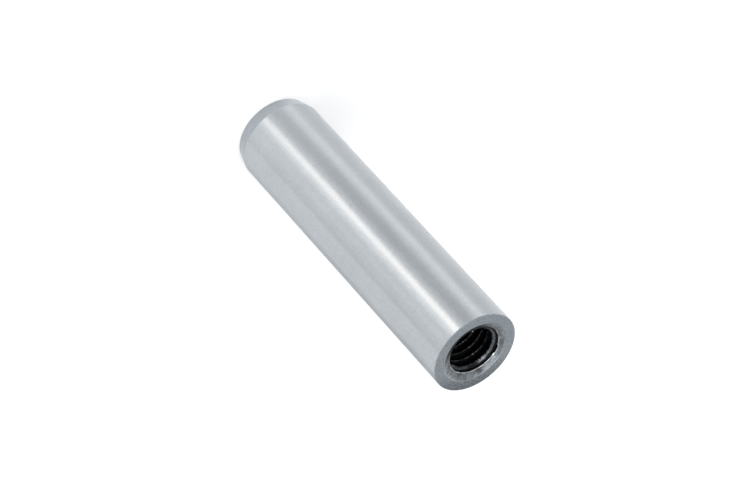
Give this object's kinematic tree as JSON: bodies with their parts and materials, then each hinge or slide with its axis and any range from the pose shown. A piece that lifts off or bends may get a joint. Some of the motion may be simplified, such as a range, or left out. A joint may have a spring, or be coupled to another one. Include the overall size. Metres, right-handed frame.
{
  "type": "dowel pin",
  "caption": "Ground cylindrical locating pin with a lead-in chamfer on its insert end and, in its flat head end, a countersunk and threaded hole for pulling it out.",
  "frame": {"origin": "centre of the insert end's flat face, which the pin stands on", "axes": "+Z along the pin's axis, from the insert end up to the threaded end; X and Y are free, because the pin is round"},
  "size_m": [0.008, 0.008, 0.032],
  "materials": {
    "ground_steel": "ground bright on the cylinder with fine lines around it; matte grey on the end faces, chamfer and countersink; blackened in the thread"
  },
  "bodies": {
    "root": {"dowel_pin": "ground_steel"}
  },
  "joints": []
}
